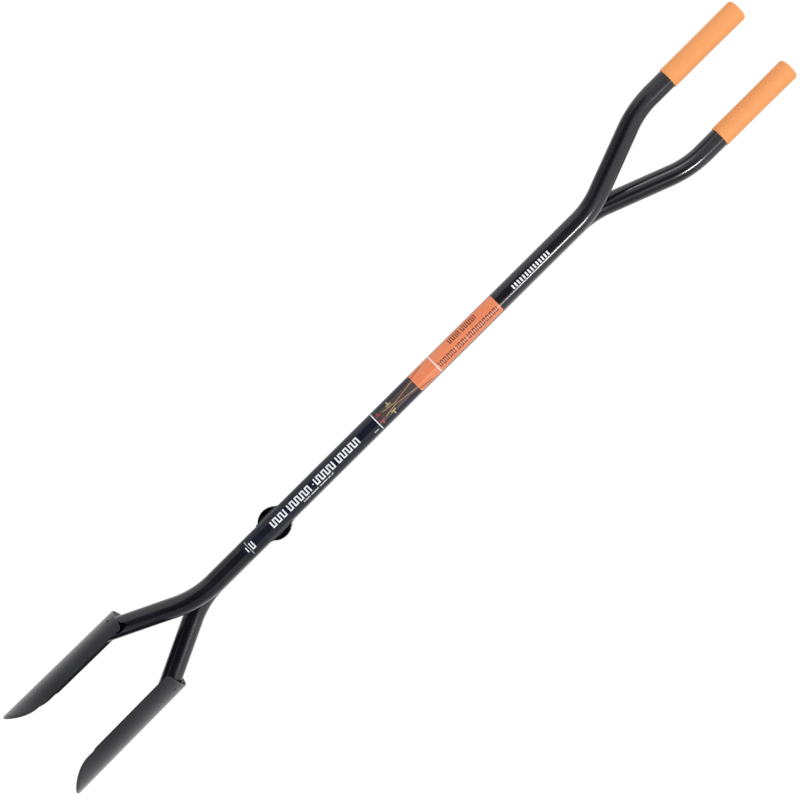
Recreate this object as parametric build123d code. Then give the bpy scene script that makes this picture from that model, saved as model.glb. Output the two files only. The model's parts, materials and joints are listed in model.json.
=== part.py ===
"""Clamshell post hole digger: two bent tube arms on one pivot, each with a digging blade and a hand grip.

Frame: millimetres, +Z up along the shafts, X in the plane of the motion, Y along the pivot's axis.
The origin is on the ground, midway between the blade points.
Each piece is drawn once, on the rear arm (x > 0, y > 0). The front arm is the same arm turned half a turn
about the Z axis.
"""
from build123d import *
import os
from math import asin, cos, degrees, radians, sin, sqrt, tan

# Overall
OVERALL_HEIGHT = 1524.0
PIVOT_HEIGHT = 494.0
ARM_OFFSET = 23.0  # from the mid plane to each tube's centreline

# Tube
TUBE_DIAMETER = 31.75
TUBE_WALL = 2.1
BEND_RADIUS = 165.0
HANDLE_REACH = 58.0  # from the long axis to the handle's centreline
UPPER_BEND_HEIGHT = 1311.0
SHAFT_TOP_HEIGHT = 1158.0
SHAFT_BOTTOM_HEIGHT = 334.0
LOWER_LEG_ANGLE = 25.5
LOWER_LEG_LENGTH = 250.0  # before the blade's inner face trims it

# V-shaped crop on the outward side of the tube's lower end
CROP_APEX_HEIGHT = 236.0
CROP_HALF_WIDTH = 9.0
CROP_HALF_ANGLE = 31.0
CROP_LENGTH = 120.0
CROP_FLOOR = 9.0  # the crop takes only the wall further out than this from the tube's centre

# Grip
GRIP_LENGTH = 148.5
GRIP_WALL = 1.5
GRIP_END_THICKNESS = 2.6
GRIP_END_RADIUS = 5.0
GRIP_LIP_RADIUS = 0.6

# Blade
BLADE_LENGTH = 228.6
BLADE_RADIUS = 83.5  # outer face
BLADE_THICKNESS = 2.0
BLADE_WIDTH = 127.0  # straight across, from edge to edge
BLADE_TIP_REACH = 81.0  # from the long axis to the outer face at the point
BLADE_TOE_OUT = 0.65
NOSE_RADIUS = 60.0
NOSE_HALF_WIDTH = 62.2
NOSE_MIDDLE_ANGLE = 45.0  # direction, from the nose arc's centre, of the point that shapes it
SHOULDER_BOTTOM = 70.0
SHOULDER_TOP = 76.0
BLADE_CORNER_RADIUS = 7.0
HOLE_DIAMETER = 4.6
HOLE_DROP = 12.0  # below the top edge
HOLE_ANGLE = 24.0  # round from the crown
DRILL_LENGTH = 12.0  # long enough to pass through the blade

# Pivot
CUP_DIAMETER = 51.4
CUP_THICKNESS = 2.4
CUP_RIM_OFFSET = 13.0  # from the mid plane to the rim
CUP_CORNER_RADIUS = 4.5
SADDLE_THICKNESS = 1.7
SADDLE_HALF_LENGTH = 23.5
SADDLE_INNER_REACH = 9.0
SADDLE_PAST_CENTRE = 1.5  # how far the saddle reaches past the tube's widest line
THRUST_WASHER_DIAMETER = 42.0
THRUST_GAP = 0.1
FACE_OFFSET = 0.7  # from the mid plane to each cup's flat face
RIVET_DIAMETER = 12.0
RIVET_HEAD_DIAMETER = 20.0
RIVET_HEAD_HEIGHT = 2.3
RIVET_HEAD_CHAMFER = 1.38
RIVET_WASHER_DIAMETER = 22.0
RIVET_WASHER_THICKNESS = 1.2
BUSH_DIAMETER = 16.0
RUNNING_CLEARANCE = 0.05

# Welds
BLADE_BEAD = 4.0
BLADE_BEAD_DROP = 1.0  # below the blade's top edge
SADDLE_BEAD = 1.3

# Label
LABEL_BOTTOM = 431.0
LABEL_TOP = 960.5
LABEL_THICKNESS = 0.18
LABEL_HALF_ANGLE = 73.0

TUBE_RADIUS = TUBE_DIAMETER / 2
BLADE_INNER_RADIUS = BLADE_RADIUS - BLADE_THICKNESS
BLADE_HALF_ANGLE = degrees(asin(BLADE_WIDTH / 2 / BLADE_RADIUS))
GRIP_BOTTOM = OVERALL_HEIGHT - GRIP_LENGTH
CUP_BACK = FACE_OFFSET + CUP_THICKNESS
FAR = 400.0  # larger than anything it cuts
PAST_FACE = 1.0  # how far a bore runs past the face that it opens


def arm_point(reach, height):
    """A point of the rear tube's centreline."""
    return Vector(reach, ARM_OFFSET, height)


def leg_reach(height):
    """Distance of the lower leg's centreline from the long axis, at a height below the bend."""
    return (SHAFT_BOTTOM_HEIGHT - height) * tan(radians(LOWER_LEG_ANGLE))


def leg_direction():
    """Unit vector down the lower leg."""
    return Vector(sin(radians(LOWER_LEG_ANGLE)), 0, -cos(radians(LOWER_LEG_ANGLE)))


def blade_frame():
    """Location whose Z axis is the blade's own axis of roll, with the blade's point level at Z = 0."""
    return Location((BLADE_TIP_REACH, 0, 0), (0, -BLADE_TOE_OUT, 0)) * Location((-BLADE_RADIUS, 0, 0))


def roll_cylinder(radius, height):
    """Solid cylinder about the blade's axis of roll, from the point's level up."""
    return blade_frame() * Cylinder(radius, height, align=(Align.CENTER, Align.CENTER, Align.MIN))


def leg_cylinder(radius):
    """Solid cylinder about the lower leg's centreline."""
    start = arm_point(0, SHAFT_BOTTOM_HEIGHT)
    plane = Plane(origin=start, z_dir=leg_direction())
    return plane * Cylinder(radius, LOWER_LEG_LENGTH, align=(Align.CENTER, Align.CENTER, Align.MIN))


def shaft_cylinder(radius):
    """Solid cylinder about the straight shaft's centreline."""
    middle = (0, ARM_OFFSET, (SHAFT_TOP_HEIGHT + SHAFT_BOTTOM_HEIGHT) / 2)
    return Location(middle) * Cylinder(radius, SHAFT_TOP_HEIGHT - SHAFT_BOTTOM_HEIGHT)


def end_crop():
    """V-shaped cutter through the outward wall of the tube's lower end, its apex on the centreline."""
    apex = arm_point(leg_reach(CROP_APEX_HEIGHT), CROP_APEX_HEIGHT)
    widening = CROP_HALF_WIDTH / tan(radians(CROP_HALF_ANGLE))
    outline = Polyline(
        (0, 0),
        (widening, CROP_HALF_WIDTH),
        (CROP_LENGTH, CROP_HALF_WIDTH),
        (CROP_LENGTH, -CROP_HALF_WIDTH),
        (widening, -CROP_HALF_WIDTH),
        close=True,
    )
    plane = Plane(origin=apex + Vector(0, CROP_FLOOR, 0), x_dir=leg_direction(), z_dir=(0, 1, 0))
    return extrude(plane * make_face(outline), amount=TUBE_RADIUS)


def shaft():
    """Bent tube from the inside of the blade to the inside of the grip."""
    foot = arm_point(0, SHAFT_BOTTOM_HEIGHT) + leg_direction() * LOWER_LEG_LENGTH
    path = FilletPolyline(
        foot,
        arm_point(0, SHAFT_BOTTOM_HEIGHT),
        arm_point(0, SHAFT_TOP_HEIGHT),
        arm_point(HANDLE_REACH, UPPER_BEND_HEIGHT),
        arm_point(HANDLE_REACH, OVERALL_HEIGHT - GRIP_END_THICKNESS),
        radius=BEND_RADIUS,
    )
    section = Circle(TUBE_RADIUS) - Circle(TUBE_RADIUS - TUBE_WALL)
    tube = sweep(Plane(origin=path @ 0, z_dir=path % 0) * section, path=path)
    past_blade = roll_cylinder(FAR, SHAFT_BOTTOM_HEIGHT) - roll_cylinder(BLADE_INNER_RADIUS, SHAFT_BOTTOM_HEIGHT)
    return tube - past_blade - end_crop()


def blade_outline():
    """Outline of the blade seen along X: a round nose, a small shoulder each side and a square top."""
    wide = BLADE_WIDTH / 2
    nose_start = sqrt(NOSE_RADIUS**2 - (NOSE_HALF_WIDTH - NOSE_RADIUS) ** 2)
    centre = (NOSE_HALF_WIDTH - NOSE_RADIUS, nose_start)
    turn = radians(NOSE_MIDDLE_ANGLE)
    on_arc = (centre[0] + NOSE_RADIUS * sin(turn), centre[1] - NOSE_RADIUS * cos(turn))
    nose = ThreePointArc((0, 0), on_arc, (NOSE_HALF_WIDTH, nose_start))
    side = Polyline(
        (NOSE_HALF_WIDTH, nose_start),
        (NOSE_HALF_WIDTH, SHOULDER_BOTTOM),
        (wide, SHOULDER_TOP),
        (wide, BLADE_LENGTH - BLADE_CORNER_RADIUS),
    )
    corner = RadiusArc(
        (wide, BLADE_LENGTH - BLADE_CORNER_RADIUS),
        (wide - BLADE_CORNER_RADIUS, BLADE_LENGTH),
        -BLADE_CORNER_RADIUS,
    )
    top = Line((wide - BLADE_CORNER_RADIUS, BLADE_LENGTH), (0, BLADE_LENGTH))
    half = [nose, side, corner, top]
    return half + [mirror(piece, about=Plane.YZ) for piece in half]


def blade():
    """Rolled plate with a ground round nose and two small holes under its top edge."""
    section = Circle(BLADE_RADIUS) - Circle(BLADE_INNER_RADIUS)
    ring = extrude(section, amount=BLADE_LENGTH)
    face = make_face(blade_outline())
    window = extrude(Plane.YZ * face, amount=FAR)
    reach = FAR * cos(radians(BLADE_HALF_ANGLE))
    spread = FAR * sin(radians(BLADE_HALF_ANGLE))
    wedge = extrude(make_face(Polyline((0, 0), (reach, spread), (reach, -spread), close=True)), amount=FAR)
    plate = ring & window & wedge
    for turn in (-HOLE_ANGLE, HOLE_ANGLE):
        height = BLADE_LENGTH - HOLE_DROP
        drill = Location((0, 0, height), (0, 0, turn)) * Location((BLADE_RADIUS, 0, 0), (0, 90, 0))
        plate -= drill * Cylinder(HOLE_DIAMETER / 2, DRILL_LENGTH)
    return blade_frame() * plate


def blade_weld():
    """Bead round the tube where it meets the inside of the blade."""
    top = BLADE_LENGTH - BLADE_BEAD_DROP
    band = roll_cylinder(BLADE_INNER_RADIUS, top) - roll_cylinder(BLADE_INNER_RADIUS - BLADE_BEAD, top)
    collar = leg_cylinder(TUBE_RADIUS + BLADE_BEAD) - leg_cylinder(TUBE_RADIUS)
    bead = band & collar
    return max(bead.solids(), key=lambda solid: solid.volume)


def grip():
    """Closed-end grip with a rounded top edge, hollow over the tube."""
    radius = TUBE_RADIUS + GRIP_WALL
    cover = Cylinder(radius, GRIP_LENGTH, align=(Align.CENTER, Align.CENTER, Align.MIN))
    cover = fillet(cover.edges().group_by(Axis.Z)[-1], GRIP_END_RADIUS)
    cover = fillet(cover.edges().group_by(Axis.Z)[0], GRIP_LIP_RADIUS)
    hollow_length = GRIP_LENGTH - GRIP_END_THICKNESS
    cover -= Cylinder(TUBE_RADIUS, hollow_length, align=(Align.CENTER, Align.CENTER, Align.MIN))
    return Location(arm_point(HANDLE_REACH, GRIP_BOTTOM)) * cover


def disc(diameter, start, end):
    """Solid disc on the pivot's axis between two distances from the mid plane."""
    turned = Cylinder(diameter / 2, end - start, align=(Align.CENTER, Align.CENTER, Align.MIN))
    return Location((0, start, PIVOT_HEIGHT), (-90, 0, 0)) * turned


def dish():
    """Round dish, its flat face towards the mid plane and its rim towards the tube."""
    depth = CUP_RIM_OFFSET - FACE_OFFSET
    outside = Cylinder(CUP_DIAMETER / 2, depth, align=(Align.CENTER, Align.CENTER, Align.MIN))
    outside = fillet(outside.edges().group_by(Axis.Z)[0], CUP_CORNER_RADIUS)
    inside = Cylinder(CUP_DIAMETER / 2 - CUP_THICKNESS, depth, align=(Align.CENTER, Align.CENTER, Align.MIN))
    inside = fillet(inside.edges().group_by(Axis.Z)[0], CUP_CORNER_RADIUS - CUP_THICKNESS)
    shell = outside - Location((0, 0, CUP_THICKNESS)) * inside
    return Location((0, FACE_OFFSET, PIVOT_HEIGHT), (-90, 0, 0)) * shell


def saddle_prism(inner_reach, from_offset, to_offset):
    """Two blocks that bound the saddle's wings, one each side of the tube."""
    length = 2 * SADDLE_HALF_LENGTH
    width = TUBE_RADIUS + 2 * SADDLE_BEAD + SADDLE_THICKNESS - inner_reach
    block = Box(width, to_offset - from_offset, length, align=(Align.MIN, Align.MIN, Align.CENTER))
    right = Location((inner_reach, from_offset, PIVOT_HEIGHT)) * block
    return right + mirror(right, about=Plane.YZ)


def pivot_cup(bore):
    """Dished pressing with two wings that hug the tube, bored for the rivet or its bush."""
    wrap = shaft_cylinder(TUBE_RADIUS + SADDLE_THICKNESS)
    wings = wrap & saddle_prism(SADDLE_INNER_REACH, CUP_BACK, ARM_OFFSET + SADDLE_PAST_CENTRE)
    ends = disc(2 * SADDLE_HALF_LENGTH + 2 * SADDLE_THICKNESS, FACE_OFFSET, ARM_OFFSET + TUBE_RADIUS)
    pressing = dish() + (wings & ends) - shaft_cylinder(TUBE_RADIUS)
    return pressing - disc(bore, 0, CUP_BACK + PAST_FACE)


def cup_weld():
    """Bead along each edge of the saddle, against the tube."""
    start = ARM_OFFSET + SADDLE_PAST_CENTRE
    wrap = shaft_cylinder(TUBE_RADIUS + SADDLE_BEAD) - shaft_cylinder(TUBE_RADIUS)
    ends = disc(2 * SADDLE_HALF_LENGTH + 2 * SADDLE_THICKNESS, FACE_OFFSET, ARM_OFFSET + TUBE_RADIUS)
    return wrap & ends & saddle_prism(SADDLE_INNER_REACH, start, start + SADDLE_BEAD)


def pivot_rivet():
    """Rivet with one head against the front cup and one formed over the washer on the rear cup."""
    rear_seat = CUP_BACK + THRUST_GAP + RIVET_WASHER_THICKNESS
    shank = disc(RIVET_DIAMETER, -CUP_BACK, rear_seat)
    front_head = disc(RIVET_HEAD_DIAMETER, -CUP_BACK - RIVET_HEAD_HEIGHT, -CUP_BACK)
    rear_head = disc(RIVET_HEAD_DIAMETER, rear_seat, rear_seat + RIVET_HEAD_HEIGHT)
    front_head = chamfer(front_head.edges().group_by(Axis.Y)[0], RIVET_HEAD_CHAMFER)
    rear_head = chamfer(rear_head.edges().group_by(Axis.Y)[-1], RIVET_HEAD_CHAMFER)
    return shank + front_head + rear_head


def rivet_washer():
    """Hard washer under the rivet's formed head."""
    start = CUP_BACK + THRUST_GAP
    end = start + RIVET_WASHER_THICKNESS
    return disc(RIVET_WASHER_DIAMETER, start, end) - disc(RIVET_DIAMETER, start, end)


def thrust_washer():
    """Flat washer on the front cup's face, which the rear cup slides on."""
    start = -FACE_OFFSET
    end = FACE_OFFSET - THRUST_GAP
    return disc(THRUST_WASHER_DIAMETER, start, end) - disc(RIVET_DIAMETER, start, end)


def pivot_bush():
    """Bush pressed into the rear cup, which turns on the rivet."""
    bore = RIVET_DIAMETER + 2 * RUNNING_CLEARANCE
    return disc(BUSH_DIAMETER, FACE_OFFSET, CUP_BACK) - disc(bore, FACE_OFFSET, CUP_BACK)


def shaft_label():
    """Thin printed wrap on the outward side of the shaft, above and below the pivot."""
    wrap = Circle(TUBE_RADIUS + LABEL_THICKNESS) - Circle(TUBE_RADIUS)
    reach = FAR * sin(radians(LABEL_HALF_ANGLE))
    ahead = FAR * cos(radians(LABEL_HALF_ANGLE))
    sector = make_face(Polyline((0, 0), (reach, ahead), (-reach, ahead), close=True))
    sleeve = extrude(wrap & sector, amount=LABEL_TOP - LABEL_BOTTOM)
    return Location((0, ARM_OFFSET, LABEL_BOTTOM)) * sleeve


def turned_to_front(piece):
    """The same piece on the front arm."""
    return Rotation(0, 0, 180) * piece


def build():
    """Every node's name and shape."""
    nodes = {}
    for name, piece in (
        ("shaft", shaft()),
        ("blade", blade()),
        ("blade_weld", blade_weld()),
        ("grip", grip()),
        ("cup_weld", cup_weld()),
    ):
        nodes["rear_" + name] = piece
        nodes["front_" + name] = turned_to_front(piece)
    nodes["rear_pivot_cup"] = pivot_cup(BUSH_DIAMETER)
    nodes["front_pivot_cup"] = turned_to_front(pivot_cup(RIVET_DIAMETER))
    nodes["pivot_rivet"] = pivot_rivet()
    nodes["rivet_washer"] = rivet_washer()
    nodes["thrust_washer"] = thrust_washer()
    nodes["pivot_bush"] = pivot_bush()
    nodes["shaft_label"] = turned_to_front(shaft_label())
    return nodes


os.makedirs("parts", exist_ok=True)
for node, shape in build().items():
    export_step(shape, f"parts/{node}.step")
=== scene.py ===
"""Looks of a clamshell post hole digger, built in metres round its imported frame.

Two bent tube arms turn on one pivot. Every piece of an arm is drawn on the rear arm, at x > 0 and y > 0.
The front arm is the same arm turned half a turn about the Z axis.
"""
from __future__ import annotations

import json
import logging
from dataclasses import dataclass, field
from enum import Enum
from math import asin, atan2, ceil, cos, degrees, pi, radians, sin, sqrt, tan
from typing import Any, Callable, Mapping, Sequence, Union

import bmesh
import bpy
from mathutils import Matrix, Vector, geometry


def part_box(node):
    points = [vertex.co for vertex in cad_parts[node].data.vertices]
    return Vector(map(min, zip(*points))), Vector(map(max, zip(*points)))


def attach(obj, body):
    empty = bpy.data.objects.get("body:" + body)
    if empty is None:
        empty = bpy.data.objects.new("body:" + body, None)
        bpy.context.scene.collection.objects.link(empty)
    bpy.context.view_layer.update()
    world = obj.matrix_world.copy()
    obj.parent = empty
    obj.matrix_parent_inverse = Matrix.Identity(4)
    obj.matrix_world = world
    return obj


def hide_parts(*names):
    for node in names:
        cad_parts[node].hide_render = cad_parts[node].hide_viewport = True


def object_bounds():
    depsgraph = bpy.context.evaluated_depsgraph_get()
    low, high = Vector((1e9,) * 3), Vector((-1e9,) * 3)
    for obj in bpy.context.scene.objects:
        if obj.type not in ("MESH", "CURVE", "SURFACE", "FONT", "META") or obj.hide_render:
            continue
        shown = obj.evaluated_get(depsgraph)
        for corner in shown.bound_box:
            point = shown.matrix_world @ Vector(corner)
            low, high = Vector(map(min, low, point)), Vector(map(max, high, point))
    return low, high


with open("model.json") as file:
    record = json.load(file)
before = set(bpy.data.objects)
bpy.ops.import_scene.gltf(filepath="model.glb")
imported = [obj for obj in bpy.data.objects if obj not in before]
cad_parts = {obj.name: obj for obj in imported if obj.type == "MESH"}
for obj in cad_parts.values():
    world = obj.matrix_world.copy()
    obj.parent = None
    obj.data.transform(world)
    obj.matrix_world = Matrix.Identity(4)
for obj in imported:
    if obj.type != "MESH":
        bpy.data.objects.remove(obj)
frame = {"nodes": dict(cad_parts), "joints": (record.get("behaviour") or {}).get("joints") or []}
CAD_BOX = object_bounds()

log = logging.getLogger("digger")

SHARP_ANGLE = radians(32)

Colour = tuple[float, float, float]
Point2 = tuple[float, float]


class Side(Enum):
    """Which arm a piece belongs to."""

    FRONT = "front"
    REAR = "rear"

    @property
    def body(self) -> str:
        """Name of the CAD body that the arm's pieces ride on."""
        return f"{self.value}_arm"

    @property
    def turn(self) -> Matrix:
        """Matrix from the rear arm, where pieces are drawn, to this arm."""
        return Matrix.Rotation(pi if self is Side.FRONT else 0.0, 4, "Z")

    def node(self, part: str) -> str:
        """Name of this arm's CAD node for a part."""
        return f"{self.value}_{part}"


# ------------------------------------------------------------------------------------------ shader maths


class Signal:
    """A shader socket that Python operators turn into Math nodes."""

    def __init__(self, sheet: "Sheet", socket: bpy.types.NodeSocket) -> None:
        """Wraps one output socket of a sheet."""
        self.sheet = sheet
        self.socket = socket

    def _math(self, operation: str, *values: "Value", clamp: bool = False) -> "Signal":
        """Adds one Math node.

        Args:
            operation: Blender's name of the Math node's operation.
            values: the node's inputs, in order.
            clamp: whether the result is kept between 0 and 1.

        Returns:
            The node's result.
        """
        settings = {"operation": operation, "use_clamp": clamp}
        node = self.sheet.node("ShaderNodeMath", settings, dict(enumerate(values)))
        return Signal(self.sheet, node.outputs[0])

    def __add__(self, other: "Value") -> "Signal":
        """self + other."""
        return self._math("ADD", self, other)

    __radd__ = __add__

    def __sub__(self, other: "Value") -> "Signal":
        """self - other."""
        return self._math("SUBTRACT", self, other)

    def __rsub__(self, other: "Value") -> "Signal":
        """other - self."""
        return self._math("SUBTRACT", other, self)

    def __mul__(self, other: "Value") -> "Signal":
        """self * other."""
        return self._math("MULTIPLY", self, other)

    __rmul__ = __mul__

    def step(self, low: float, high: float) -> "Signal":
        """Smooth step from 0 at low to 1 at high.

        Args:
            low: value where the step starts.
            high: value where the step ends; it may be below low.

        Returns:
            The step's height, between 0 and 1.
        """
        ramp = self._math("DIVIDE", self - low, high - low, clamp=True)
        return ramp * ramp * (3 - 2 * ramp)


Value = Union[Signal, float, int]


class Sheet:
    """A material's or a world's node sheet, cleared and ready for new nodes."""

    def __init__(self, owner: Union[bpy.types.Material, bpy.types.World]) -> None:
        """Clears the owner's nodes.

        Args:
            owner: the material or world.
        """
        owner.use_nodes = True
        self.tree = owner.node_tree
        self.tree.nodes.clear()

    def node(
        self,
        kind: str,
        settings: Mapping[str, Any] | None = None,
        sockets: Mapping[Union[str, int], Any] | None = None,
    ) -> bpy.types.Node:
        """Adds any node.

        Args:
            kind: the node's type name.
            settings: attributes of the node, set first.
            sockets: a constant, a Signal or an output socket for each input, by name or index.

        Returns:
            The node.
        """
        made = self.tree.nodes.new(kind)
        for key, value in (settings or {}).items():
            setattr(made, key, value)
        for key, value in (sockets or {}).items():
            if isinstance(value, Signal):
                value = value.socket
            if isinstance(value, bpy.types.NodeSocket):
                self.tree.links.new(value, made.inputs[key])
            else:
                made.inputs[key].default_value = value
        return made

    def mix(self, factor: Value, first: Any, second: Any) -> bpy.types.NodeSocket:
        """Blends two colours.

        Args:
            factor: 0 gives the first colour and 1 the second.
            first: a colour or a socket.
            second: a colour or a socket.

        Returns:
            The blended colour.
        """
        ends = [(*c, 1.0) if isinstance(c, tuple) else c for c in (first, second)]
        settings = {"data_type": "RGBA", "clamp_factor": True}
        return self.node("ShaderNodeMix", settings, {0: factor, 6: ends[0], 7: ends[1]}).outputs[2]


class Finish(Sheet):
    """A material's node sheet: one Principled shader and the nodes that feed it."""

    def __init__(self, name: str) -> None:
        """Makes the material with its shader and output.

        Args:
            name: the material's name.
        """
        self.material = bpy.data.materials.new(name)
        super().__init__(self.material)
        self.shader = self.node("ShaderNodeBsdfPrincipled")
        self.node("ShaderNodeOutputMaterial", sockets={"Surface": self.shader.outputs[0]})

    def place(self) -> bpy.types.NodeSocket:
        """The point's place in the row frame, in metres."""
        return self.node("ShaderNodeTexCoord").outputs["Object"]

    def stretched(self, scale: Sequence[float]) -> bpy.types.NodeSocket:
        """The point's place with each axis scaled, for grain that runs one way."""
        sockets = {0: self.place(), 1: tuple(scale)}
        return self.node("ShaderNodeVectorMath", {"operation": "MULTIPLY"}, sockets).outputs[0]

    def axis(self, index: int) -> Signal:
        """One coordinate of the point's place, in metres."""
        return Signal(self, self.node("ShaderNodeSeparateXYZ", sockets={0: self.place()}).outputs[index])

    def noise(
        self,
        scale: float,
        detail: float = 2.0,
        roughness: float = 0.5,
        at: bpy.types.NodeSocket | None = None,
    ) -> Signal:
        """Soft random variation.

        Args:
            scale: features per metre.
            detail: how many finer layers are added.
            roughness: how strong each finer layer is.
            at: where to read the noise, or None for the point's own place.

        Returns:
            The noise, centred on 0.5.
        """
        sockets = {"Vector": at or self.place(), "Scale": scale, "Detail": detail, "Roughness": roughness}
        return Signal(self, self.node("ShaderNodeTexNoise", sockets=sockets).outputs[0])

    def cells(self, scale: float) -> Signal:
        """Distance to the nearest of many scattered points, scale of them per metre."""
        sockets = {"Vector": self.place(), "Scale": scale}
        return Signal(self, self.node("ShaderNodeTexVoronoi", sockets=sockets).outputs["Distance"])

    def bump(self, height: Signal, distance: float, strength: float = 1.0) -> None:
        """Raises the surface a little.

        Args:
            height: the relief, where 1 is one distance high.
            distance: height of the relief, in metres.
            strength: how much of the relief shows.
        """
        sockets = {"Height": height, "Distance": distance, "Strength": strength}
        relief = self.node("ShaderNodeBump", sockets=sockets)
        self.feed(Normal=relief.outputs[0])

    def feed(self, **sockets: Any) -> None:
        """Sets or links the shader's own inputs.

        Args:
            sockets: a value for each input, by name; an underscore stands for a space.
        """
        for key, value in sockets.items():
            target = self.shader.inputs[key.replace("_", " ")]
            if isinstance(value, Signal):
                value = value.socket
            if isinstance(value, bpy.types.NodeSocket):
                self.tree.links.new(value, target)
            elif target.type == "RGBA":
                target.default_value = (*value, 1.0)
            else:
                target.default_value = value


# ----------------------------------------------------------------------------------------------- finishes


@dataclass(frozen=True)
class TubeEnamel:
    """Gloss black powder coat on steel tube, with a fine orange peel."""

    deep: Colour = (0.0045, 0.0045, 0.0085)
    worn: Colour = (0.008, 0.008, 0.0125)
    roughness: float = 0.15
    peel_per_metre: float = 260.0
    peel_height: float = 0.0000012

    def make(self) -> bpy.types.Material:
        """Makes the material.

        Returns:
            The material.
        """
        finish = Finish("tube_enamel")
        cloud = finish.noise(9.0, 4.0, 0.6)
        speck = finish.noise(380.0, 2.0)
        finish.feed(
            Base_Color=finish.mix(cloud.step(0.42, 0.7), self.deep, self.worn),
            Roughness=self.roughness + 0.07 * cloud + 0.05 * speck.step(0.55, 0.75),
            IOR=1.52,
        )
        finish.feed(Coat_Weight=0.2, Coat_Roughness=0.09, Coat_IOR=1.45)
        finish.bump(finish.noise(self.peel_per_metre, 1.0), self.peel_height)
        return finish.material


@dataclass(frozen=True)
class BladeEnamel:
    """Satin black-grey powder coat on the pressed blade, a little rubbed along its cutting edge."""

    deep: Colour = (0.0125, 0.0127, 0.0165)
    pale: Colour = (0.0165, 0.017, 0.0215)
    rubbed: Colour = (0.09, 0.09, 0.095)
    roughness: float = 0.2
    rub_height: float = 0.016

    def make(self) -> bpy.types.Material:
        """Makes the material.

        Returns:
            The material.
        """
        finish = Finish("blade_enamel")
        cloud = finish.noise(14.0, 4.0, 0.6)
        grain = finish.noise(700.0, 3.0, 0.6)
        streak = finish.noise(1.0, 4.0, 0.65, at=finish.stretched((240.0, 240.0, 9.0)))
        edge = finish.axis(2) + 0.012 * streak
        rub = edge.step(self.rub_height, 0.004) * streak.step(0.46, 0.62)
        paint = finish.mix(cloud.step(0.35, 0.72), self.deep, self.pale)
        finish.feed(
            Base_Color=finish.mix(0.35 * rub, paint, self.rubbed),
            Roughness=self.roughness + 0.1 * cloud - 0.05 * rub,
            IOR=1.4,
        )
        finish.bump(0.7 * grain + 0.3 * finish.noise(160.0, 2.0), 0.000014)
        return finish.material


@dataclass(frozen=True)
class WeldEnamel:
    """Black powder coat over a weld bead, with fine spatter."""

    deep: Colour = (0.016, 0.016, 0.019)
    pale: Colour = (0.045, 0.045, 0.05)
    roughness: float = 0.3

    def make(self) -> bpy.types.Material:
        """Makes the material.

        Returns:
            The material.
        """
        finish = Finish("weld_enamel")
        cloud = finish.noise(160.0, 3.0, 0.6)
        spatter = finish.cells(900.0).step(0.42, 0.1)
        finish.feed(
            Base_Color=finish.mix(cloud.step(0.4, 0.7), self.deep, self.pale),
            Roughness=self.roughness + 0.15 * cloud,
            Coat_Weight=0.3,
        )
        finish.bump(0.6 * cloud + 0.4 * spatter, 0.00012)
        return finish.material


@dataclass(frozen=True)
class GripVinyl:
    """Satin orange dipped vinyl, slightly blotched, with a soft skin."""

    warm: Colour = (0.66, 0.247, 0.07)
    pale: Colour = (0.7, 0.287, 0.094)
    roughness: float = 0.5

    def make(self) -> bpy.types.Material:
        """Makes the material.

        Returns:
            The material.
        """
        finish = Finish("grip_vinyl")
        cloud = finish.noise(34.0, 3.0, 0.55)
        skin = finish.noise(950.0, 2.0, 0.5)
        flow = finish.noise(1.0, 3.0, 0.5, at=finish.stretched((130.0, 130.0, 22.0)))
        finish.feed(
            Base_Color=finish.mix(0.6 * cloud + 0.4 * flow, self.warm, self.pale),
            Roughness=self.roughness + 0.1 * cloud + 0.05 * skin,
            IOR=1.45,
        )
        finish.feed(Subsurface_Weight=0.08, Subsurface_Radius=(0.004, 0.0016, 0.0008), Subsurface_Scale=1.0)
        finish.bump(0.55 * skin + 0.45 * flow, 0.00004)
        return finish.material


@dataclass(frozen=True)
class TurnedMetal:
    """Bare turned metal with fine rings and a film of oil."""

    name: str
    pale: Colour
    dark: Colour
    roughness: float = 0.28

    def make(self) -> bpy.types.Material:
        """Makes the material.

        Returns:
            The material.
        """
        finish = Finish(self.name)
        cloud = finish.noise(90.0, 4.0, 0.6)
        rings = finish.noise(1.0, 2.0, 0.5, at=finish.stretched((60.0, 5200.0, 60.0)))
        finish.feed(
            Base_Color=finish.mix(cloud.step(0.4, 0.75), self.pale, self.dark),
            Roughness=self.roughness + 0.18 * cloud,
            Metallic=1.0,
        )
        finish.bump(rings, 0.00004)
        return finish.material


@dataclass(frozen=True)
class PrintedFilm:
    """Glossy printed film or ink: one colour that mottles as screen print does."""

    name: str
    ink: Colour
    mottle: Colour
    roughness: float = 0.3
    dots_per_metre: float = 2600.0

    def make(self) -> bpy.types.Material:
        """Makes the material.

        Returns:
            The material.
        """
        finish = Finish(self.name)
        cloud = finish.noise(60.0, 3.0, 0.6)
        dots = finish.cells(self.dots_per_metre).step(0.5, 0.2)
        tone = 0.65 * cloud.step(0.3, 0.75) + 0.25 * dots
        finish.feed(
            Base_Color=finish.mix(tone, self.ink, self.mottle),
            Roughness=self.roughness + 0.08 * cloud,
            IOR=1.46,
        )
        finish.bump(finish.noise(450.0, 2.0), 0.000006)
        return finish.material


def made(make: Callable[[], bpy.types.Material]) -> Any:
    """A palette's field, whose material is made along with the palette."""
    return field(default_factory=make)


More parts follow.
